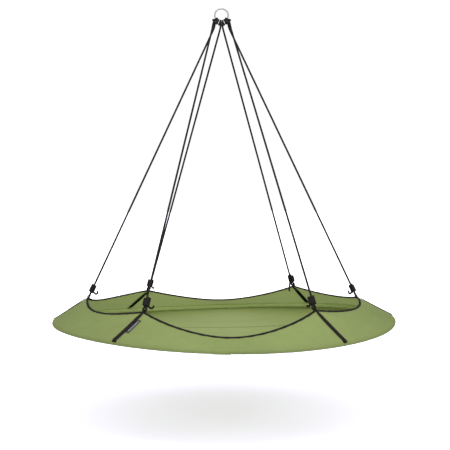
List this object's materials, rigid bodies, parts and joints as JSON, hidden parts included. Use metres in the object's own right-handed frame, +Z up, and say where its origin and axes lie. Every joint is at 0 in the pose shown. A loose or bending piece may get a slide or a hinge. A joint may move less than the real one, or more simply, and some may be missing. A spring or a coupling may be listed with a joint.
{
  "type": "saucer nest swing",
  "caption": "Round fabric saucer swing with a scalloped lifted wall on a tube rim, hung by rope legs with noose knots from one round ring.",
  "frame": {"origin": "hook seat: the middle of the hanging ring's inner top, where a hook bears", "axes": "+Z up, +X to the right, +Y to the back; the two wide openings of the wall face front and back"},
  "size_m": [1.8332, 1.8283, 1.7193],
  "materials": {
    "ring_steel": "satin zinc plate",
    "rope_black": "braided rope",
    "webbing_black": "woven webbing",
    "tube_steel": "satin",
    "wall_fabric": "matt woven fabric",
    "deck_fabric": "matt woven fabric",
    "binding_tape": "folded tape",
    "label_black": "woven label"
  },
  "bodies": {
    "ring": {"hanging_ring": "ring_steel"},
    "hitches": {"hitch_centre": "rope_black", "hitch_left": "rope_black", "hitch_right": "rope_black"},
    "sling": {"corner_strap_1": "webbing_black", "corner_strap_2": "webbing_black", "corner_strap_3": "webbing_black", "corner_strap_4": "webbing_black", "corner_strap_5": "webbing_black", "corner_strap_6": "webbing_black", "deck_panel_back": "deck_fabric", "deck_panel_front": "deck_fabric", "edge_binding_1": "binding_tape", "edge_binding_2": "binding_tape", "edge_binding_3": "binding_tape", "edge_binding_4": "binding_tape", "edge_binding_5": "binding_tape", "edge_binding_6": "binding_tape", "rim_sleeve": "wall_fabric", "rim_tube_1": "tube_steel", "rim_tube_2": "tube_steel", "rim_tube_3": "tube_steel", "rim_tube_4": "tube_steel", "rim_tube_5": "tube_steel", "rim_tube_6": "tube_steel", "rope_leg_1": "rope_black", "rope_leg_2": "rope_black", "rope_leg_3": "rope_black", "rope_leg_4": "rope_black", "rope_leg_5": "rope_black", "rope_leg_6": "rope_black", "wall_panel_1": "wall_fabric", "wall_panel_2": "wall_fabric", "wall_panel_3": "wall_fabric", "wall_panel_4": "wall_fabric", "wall_panel_5": "wall_fabric", "wall_panel_6": "wall_fabric"},
    "knot_1": {"noose_knot_1": "rope_black"},
    "knot_2": {"noose_knot_2": "rope_black"},
    "knot_3": {"noose_knot_3": "rope_black"},
    "knot_4": {"noose_knot_4": "rope_black"},
    "knot_5": {"noose_knot_5": "rope_black"},
    "knot_6": {"noose_knot_6": "rope_black"},
    "access_flap_body": {"access_flap": "wall_fabric"},
    "label_body": {"side_label": "label_black"}
  },
  "joints": [
    {"name": "side_swing", "type": "hinge", "parent": "ring", "child": "hitches", "pos_m": [0, 0, -0.032], "axis": [0, 1, 0], "range_deg": [-35, 35]},
    {"name": "fore_aft_swing", "type": "hinge", "parent": "hitches", "child": "sling", "pos_m": [0, 0, -0.0945], "axis": [1, 0, 0], "range_deg": [-35, 35]},
    {"name": "noose_knot_1_slide", "type": "slide", "parent": "sling", "child": "knot_1", "axis": [-0.4249, 0.0026, 0.9052], "range_m": [0, 0.03]},
    {"name": "noose_knot_2_slide", "type": "slide", "parent": "sling", "child": "knot_2", "axis": [-0.2667, -0.3547, 0.8961], "range_m": [0, 0.03]},
    {"name": "noose_knot_3_slide", "type": "slide", "parent": "sling", "child": "knot_3", "axis": [0.2568, -0.3582, 0.8976], "range_m": [0, 0.03]},
    {"name": "noose_knot_4_slide", "type": "slide", "parent": "sling", "child": "knot_4", "axis": [0.4313, 0.0026, 0.9022], "range_m": [0, 0.03]},
    {"name": "noose_knot_5_slide", "type": "slide", "parent": "sling", "child": "knot_5", "axis": [0.2244, 0.3669, 0.9028], "range_m": [0, 0.03]},
    {"name": "noose_knot_6_slide", "type": "slide", "parent": "sling", "child": "knot_6", "axis": [-0.2305, 0.362, 0.9032], "range_m": [0, 0.03]},
    {"name": "access_flap_open", "type": "hinge", "parent": "sling", "child": "access_flap_body", "pos_m": [-0.04745, -0.90541, -1.68113], "axis": [-0.9983, 0.0523, 0.026], "range_deg": [0, 80]},
    {"name": "side_label_lift", "type": "hinge", "parent": "sling", "child": "label_body", "pos_m": [-0.46193, -0.67402, -1.60442], "axis": [-0.5929, -0.6222, -0.5112], "range_deg": [0, 80]}
  ]
}
